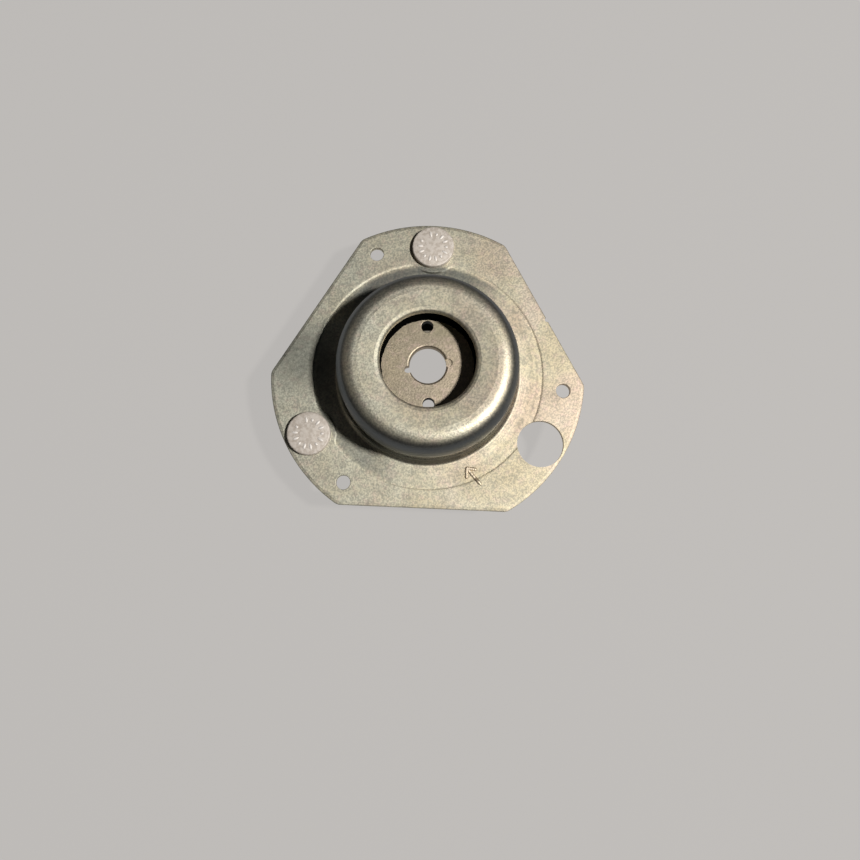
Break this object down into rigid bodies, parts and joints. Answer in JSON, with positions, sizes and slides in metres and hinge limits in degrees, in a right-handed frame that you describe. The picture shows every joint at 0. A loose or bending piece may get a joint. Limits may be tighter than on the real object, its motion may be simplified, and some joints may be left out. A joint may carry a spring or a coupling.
{
  "type": "strut mount",
  "caption": "Pressed steel strut mount: a lobed flange with a drawn dome round a rubber bush, a keyed core plate for the strut rod and press-in studs for the body tower.",
  "frame": {"origin": "on the strut axis, in the plane of the flange's tower-side face", "axes": "+Z along the strut axis from the body tower towards the spring, +Y to the first stud"},
  "size_m": [0.118, 0.1093, 0.051],
  "materials": {
    "zinc_plated_sheet": "clear and yellowish zinc plating, mottled, satin",
    "core_steel": "dull brownish-grey plating",
    "closing_sheet": "zinc plating, satin",
    "stud_steel": "pale grey zinc plating, matt",
    "black_rubber": "moulded, matt"
  },
  "bodies": {
    "root": {"housing": "zinc_plated_sheet", "core_plate": "core_steel", "rubber_bush": "black_rubber", "closing_ring": "closing_sheet", "stud_1": "stud_steel", "stud_2": "stud_steel"}
  },
  "joints": []
}
